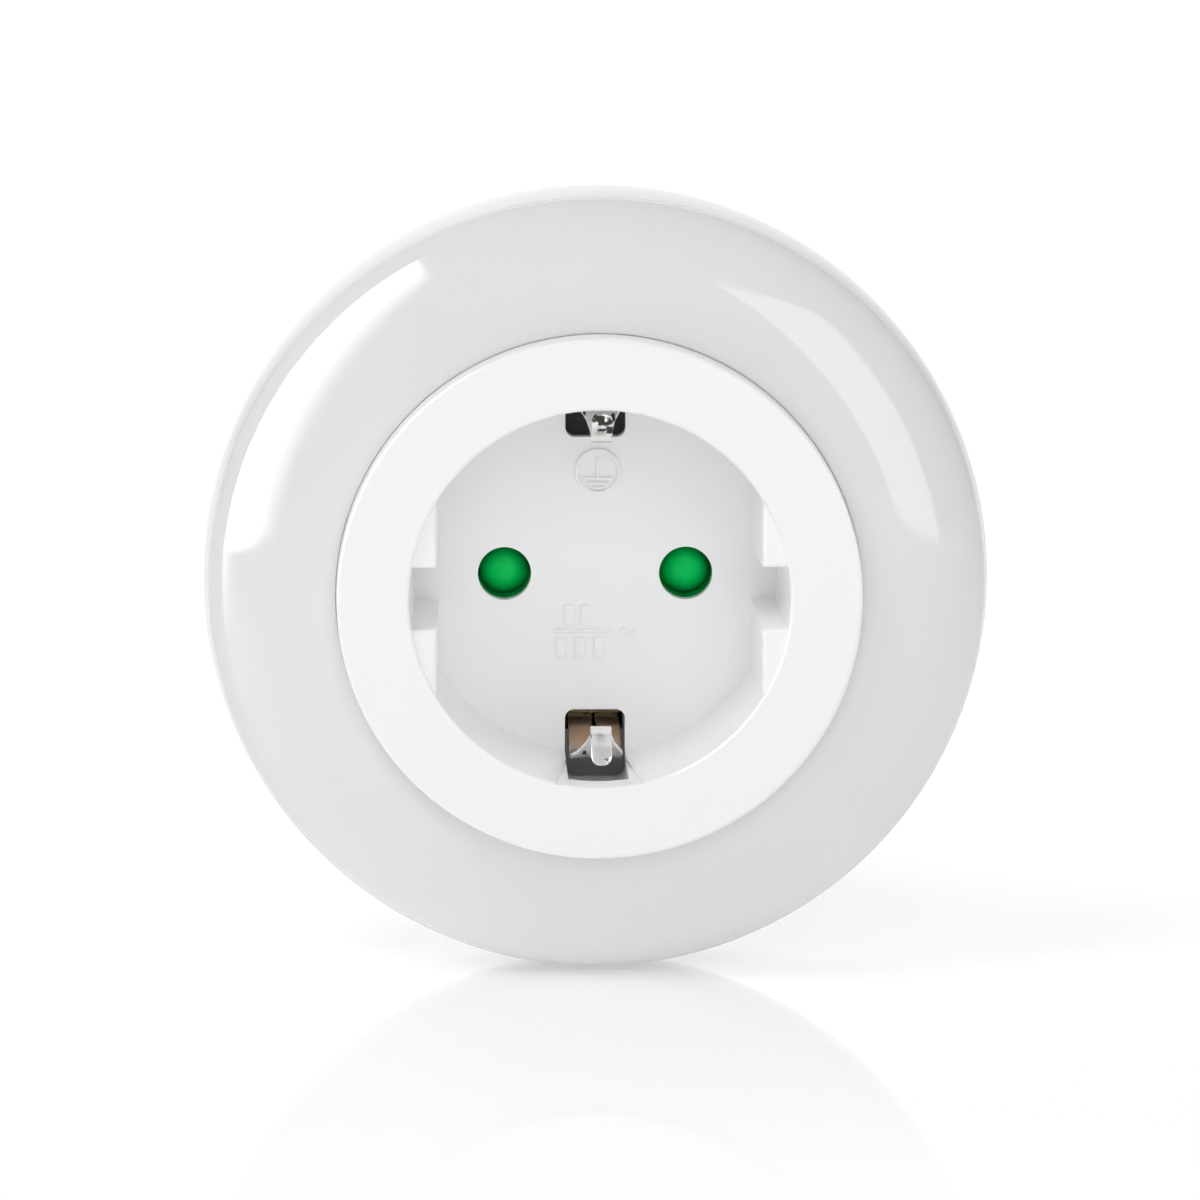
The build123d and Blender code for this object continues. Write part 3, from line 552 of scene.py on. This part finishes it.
# earth clips: a strip, as (distance from the axis, height, half width) from its foot to its tip
clip = {
    "strip": [
        (0.01680, -0.0070, 0.0027), (0.01680, 0.0046, 0.0027), (0.01700, 0.0056, 0.0027),
        (0.01880, 0.0082, 0.0027), (0.01912, 0.0092, 0.0027), (0.01900, 0.0107, 0.0027),
        (0.01840, 0.0118, 0.0024), (0.01710, 0.0136, 0.0015), (0.01590, 0.0149, 0.0011),
        (0.01524, 0.0153, 0.0011), (0.01530, 0.0159, 0.0011), (0.01600, 0.0170, 0.0011),
        (0.01690, 0.0180, 0.0011), (0.01770, 0.0186, 0.0011), (0.01815, 0.0188, 0.00095),
        (0.01842, 0.0189, 0.00070), (0.01856, 0.01893, 0.00035),
    ],
    "thickness": 0.0005, "tongueOffset": 0.0004, "offsetFrom": 6, "slitHalf": 0.00022, "slitRows": 5,
    "edge": 0.00008, "edgeSegments": 2, "smoothAngle": 45,
}


def firstRow(size, side):
    # a row of three edges across the strip, the middle one as wide as the slit
    reach, height, half = size["strip"][0]
    clearSelection()
    bpy.ops.mesh.primitive_grid_add(
        x_subdivisions=3, y_subdivisions=1, size=1, location=(0, -height, side * reach))
    piece = bpy.context.object
    bpy.ops.object.mode_set(mode="EDIT")
    bpy.ops.mesh.delete(type="ONLY_FACE")
    bpy.ops.mesh.select_all(action="DESELECT")
    bpy.ops.object.mode_set(mode="OBJECT")
    for corner in piece.data.vertices:
        corner.select = corner.co.y < 0
    bpy.ops.object.mode_set(mode="EDIT")
    bpy.ops.mesh.delete(type="VERT")
    bpy.ops.object.mode_set(mode="OBJECT")
    across = (-half, -size["slitHalf"], size["slitHalf"], half)
    for corner, x in zip(sorted(piece.data.vertices, key=lambda corner: corner.co.x), across):
        corner.co = (x, 0, 0)
    return piece


def makeClip(size, side):
    piece = firstRow(size, side)
    reach, height, half = size["strip"][0]
    startEditing(piece)
    bpy.ops.mesh.select_all(action="SELECT")
    for number, (newReach, newHeight, newHalf) in enumerate(size["strip"][1:], 1):
        shift = size["tongueOffset"] if number == size["offsetFrom"] else 0
        middle = size["tongueOffset"] if number >= size["offsetFrom"] else 0
        bpy.ops.mesh.extrude_region_move(TRANSFORM_OT_translate={
            "value": (shift, height - newHeight, side * (newReach - reach))})
        bpy.ops.transform.resize(
            value=(newHalf / half, 1, 1), center_override=(middle, -newHeight, side * newReach))
        reach, height, half = newReach, newHeight, newHalf
    bpy.ops.mesh.select_all(action="DESELECT")
    bpy.ops.object.mode_set(mode="OBJECT")
    slitEnd = -size["strip"][size["slitRows"]][1] - piece.location.y
    for face in piece.data.polygons:
        face.select = abs(face.center.x) < size["slitHalf"] and face.center.y > slitEnd
    bpy.ops.object.mode_set(mode="EDIT")
    bpy.ops.mesh.delete(type="FACE")
    bpy.ops.mesh.select_all(action="SELECT")
    bpy.ops.mesh.normals_make_consistent(inside=False)
    bpy.ops.object.mode_set(mode="OBJECT")
    wall = piece.modifiers.new("wall", "SOLIDIFY")
    wall.thickness = size["thickness"]
    wall.offset = 0
    bpy.ops.object.modifier_apply(modifier=wall.name)
    corners = piece.modifiers.new("corners", "BEVEL")
    corners.width = size["edge"]
    corners.segments = size["edgeSegments"]
    corners.limit_method = "ANGLE"
    bpy.ops.object.modifier_apply(modifier=corners.name)
    return piece


for clipPlace, clipSide in (("Top", 1), ("Bottom", -1)):
    clipBody = "earth_clip_" + clipPlace.lower()
    clipPiece = settle(makeClip(clip, clipSide), "earthClip" + clipPlace, clip["smoothAngle"])
    dress(clipPiece, "clip_nickel", clipBody, clipBody)
print("earth clips made")


# return spring under the shutter: its place and length come from the frame
spring = {
    "wire": 0.00035, "turns": 7, "stepsPerTurn": 28, "wireSides": 12, "travel": 0.0062, "smoothAngle": 60,
}


def makeSpring(size):
    low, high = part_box("shutter_spring")
    x = (low[0] + high[0]) / 2
    y = (low[1] + high[1]) / 2
    coilRadius = (high[0] - low[0] - size["wire"]) / 2
    pitch = (high[2] - low[2] - size["wire"]) / size["turns"]
    clearSelection()
    bpy.ops.mesh.primitive_circle_add(
        vertices=size["wireSides"], radius=size["wire"] / 2, fill_type="NOTHING",
        location=(coilRadius, 0, 0), rotation=frontUp)
    coil = bpy.context.object
    bpy.ops.object.transform_apply(location=True, rotation=True, scale=True)
    turn = coil.modifiers.new("turns", "SCREW")
    turn.axis = "Z"
    turn.screw_offset = pitch
    turn.iterations = size["turns"]
    turn.steps = size["stepsPerTurn"]
    turn.render_steps = size["stepsPerTurn"]
    bpy.ops.object.modifier_apply(modifier=turn.name)
    startEditing(coil)
    bpy.ops.mesh.select_all(action="DESELECT")
    bpy.ops.mesh.select_non_manifold()
    bpy.ops.mesh.edge_face_add()
    bpy.ops.mesh.select_all(action="SELECT")
    bpy.ops.mesh.normals_make_consistent(inside=False)
    bpy.ops.object.mode_set(mode="OBJECT")
    coil.location = (x, y, low[2] + size["wire"] / 2)
    return coil, low, high


springPiece, springLow, springHigh = makeSpring(spring)
settle(springPiece, "returnSpring", spring["smoothAngle"])
dress(springPiece, "spring_steel", "housing", "shutter_spring")
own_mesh(springPiece)
print("spring made")


# studio: the object stands on a white floor, in front of a white room
cadLow = cadBounds[0]
rimCentre = Vector((0, cadLow[1], 0))
floorHeight = cadLow[2]

bpy.context.scene.view_settings.view_transform = "Standard"

floorLook = {
    "size": 8.0, "color": (0.86, 0.86, 0.862), "roughness": 0.03, "glow": 0.16,
    "ior": 1.45, "fadeStart": 0, "fadeEnd": 0.14, "fade": 1,
}


def makeFloor(look):
    # white gloss, which fades into bare white towards the viewer
    clearSelection()
    bpy.ops.mesh.primitive_plane_add(size=look["size"], location=(0, 0, floorHeight))
    floor = bpy.context.object
    floor.name = "studioFloor"
    material, nodes, links, shader = nodeMaterial("studioFloor")
    shader.inputs["Base Color"].default_value = (*look["color"], 1)
    shader.inputs["Roughness"].default_value = look["roughness"]
    shader.inputs["IOR"].default_value = look["ior"]
    shader.inputs["Emission Color"].default_value = (1, 1, 1, 1)
    shader.inputs["Emission Strength"].default_value = look["glow"]
    place = nodes.new("ShaderNodeTexCoord")
    apart = nodes.new("ShaderNodeSeparateXYZ")
    links.new(place.outputs["Object"], apart.inputs["Vector"])
    fade = nodes.new("ShaderNodeMapRange")
    fade.inputs["From Min"].default_value = -look["fadeStart"]
    fade.inputs["From Max"].default_value = -look["fadeEnd"]
    fade.inputs["To Max"].default_value = look["fade"]
    links.new(apart.outputs["Y"], fade.inputs["Value"])
    paper = nodes.new("ShaderNodeEmission")
    blend = nodes.new("ShaderNodeMixShader")
    links.new(fade.outputs["Result"], blend.inputs["Fac"])
    links.new(shader.outputs["BSDF"], blend.inputs[1])
    links.new(paper.outputs["Emission"], blend.inputs[2])
    links.new(blend.outputs["Shader"], nodes["Material Output"].inputs["Surface"])
    floor.data.materials.append(material)


makeFloor(floorLook)

# white studio, brightest low down behind the object, where the floor mirrors it
worldLook = {
    "towards": (0, 0.985, 0.17), "dimFrom": 0.90, "brightFrom": 0.97, "dim": 0.53, "bright": 1.12,
}


def makeWorld(look):
    world = bpy.data.worlds.new("studioWorld")
    world.use_nodes = True
    nodes = world.node_tree.nodes
    links = world.node_tree.links
    sky = nodes.new("ShaderNodeTexCoord")
    facing = nodes.new("ShaderNodeVectorMath")
    facing.operation = "DOT_PRODUCT"
    facing.inputs[1].default_value = look["towards"]
    links.new(sky.outputs["Generated"], facing.inputs[0])
    strength = nodes.new("ShaderNodeMapRange")
    strength.interpolation_type = "SMOOTHSTEP"
    strength.inputs["From Min"].default_value = look["dimFrom"]
    strength.inputs["From Max"].default_value = look["brightFrom"]
    strength.inputs["To Min"].default_value = look["dim"]
    strength.inputs["To Max"].default_value = look["bright"]
    links.new(facing.outputs["Value"], strength.inputs["Value"])
    nodes["Background"].inputs["Color"].default_value = (1, 1, 1, 1)
    links.new(strength.outputs["Result"], nodes["Background"].inputs["Strength"])
    bpy.context.scene.world = world


makeWorld(worldLook)

# each light is a rectangle: its centre, what it faces, its turn in its own plane, its size and brightness.
# "shine" lights only show in reflections, "colour" lights only light the surfaces
lightLooks = {
    "leftShine": {
        "place": (-0.90, -0.63, 0.72), "facing": (0, -0.63, 0.72), "turn": 0, "size": (1.44, 1.52),
        "radiance": 7.5, "reaches": "shine", "fadeFrom": 0.4,
    },
    "rightShine": {
        "place": (0.60, -0.757, 0.26), "facing": (0, 0, 0), "turn": 10, "size": (0.50, 0.72),
        "radiance": 2.6, "reaches": "shine",
    },
    "leftFill": {
        "place": (-0.50, -0.40, 1.00), "facing": (0, 0, 0), "turn": 0, "size": (0.45, 0.45),
        "radiance": 5.0, "reaches": "colour",
    },
    "backFill": {
        "place": (-0.60, 1.15, 0.75), "facing": (0, 0, 0), "turn": 0, "size": (0.6, 0.6),
        "radiance": 3.6, "reaches": "colour",
    },
    "frontFill": {
        "place": (0.15, -1.3, 0.75), "facing": (0, 0, 0), "turn": 0, "size": (0.8, 0.8),
        "radiance": 1.7, "reaches": "colour",
    },
}


def softbox(name, look):
    width, height = look["size"]
    data = bpy.data.lights.new(name, "AREA")
    data.shape = "RECTANGLE"
    data.size = width
    data.size_y = height
    data.energy = look["radiance"] * math.pi * width * height
    lamp = bpy.data.objects.new(name, data)
    bpy.context.scene.collection.objects.link(lamp)
    lamp.location = look["place"]
    aim = (Vector(look["facing"]) - Vector(look["place"])).to_track_quat("-Z", "Y").to_matrix()
    lamp.rotation_euler = (aim @ Matrix.Rotation(math.radians(look["turn"]), 3, "Z")).to_euler()
    lamp.visible_camera = False
    lamp.visible_diffuse = look["reaches"] == "colour"
    lamp.visible_glossy = look["reaches"] == "shine"
    lamp.visible_transmission = False
    if "fadeFrom" in look:
        fadeLight(data, look["fadeFrom"])


def fadeLight(data, start):
    # full up to a share of its width, then fading out to its far edge
    data.use_nodes = True
    nodes = data.node_tree.nodes
    links = data.node_tree.links
    place = nodes.new("ShaderNodeTexCoord")
    apart = nodes.new("ShaderNodeSeparateXYZ")
    links.new(place.outputs["UV"], apart.inputs["Vector"])
    fade = nodes.new("ShaderNodeMapRange")
    fade.interpolation_type = "SMOOTHSTEP"
    links.new(apart.outputs["X"], fade.inputs["Value"])
    fade.inputs["From Min"].default_value = start
    fade.inputs["To Min"].default_value = 1
    fade.inputs["To Max"].default_value = 0
    links.new(fade.outputs["Result"], nodes["Emission"].inputs["Strength"])


for lightName, lightLook in lightLooks.items():
    softbox(lightName, lightLook)

cameraLook = {
    "distance": 1.4, "elevation": 9.25, "azimuth": -1.7, "roll": 0.1, "lens": 405.5, "sensor": 36.0,
    "near": 0.05, "far": 50,
}
cameraData = bpy.data.cameras.new("studioCamera")
cameraData.lens = cameraLook["lens"]
cameraData.sensor_width = cameraLook["sensor"]
cameraData.clip_start = cameraLook["near"]
cameraData.clip_end = cameraLook["far"]
camera = bpy.data.objects.new("studioCamera", cameraData)
bpy.context.scene.collection.objects.link(camera)
azimuth = math.radians(cameraLook["azimuth"])
elevation = math.radians(cameraLook["elevation"])
outward = Vector((
    math.sin(azimuth) * math.cos(elevation),
    -math.cos(azimuth) * math.cos(elevation),
    math.sin(elevation),
))
camera.location = rimCentre + outward * cameraLook["distance"]
level = (-outward).to_track_quat("-Z", "Y").to_matrix()
tilt = Matrix.Rotation(math.radians(cameraLook["roll"]), 3, "Z")
camera.rotation_euler = (level @ tilt).to_euler()
bpy.context.scene.camera = camera
print("stage ready")
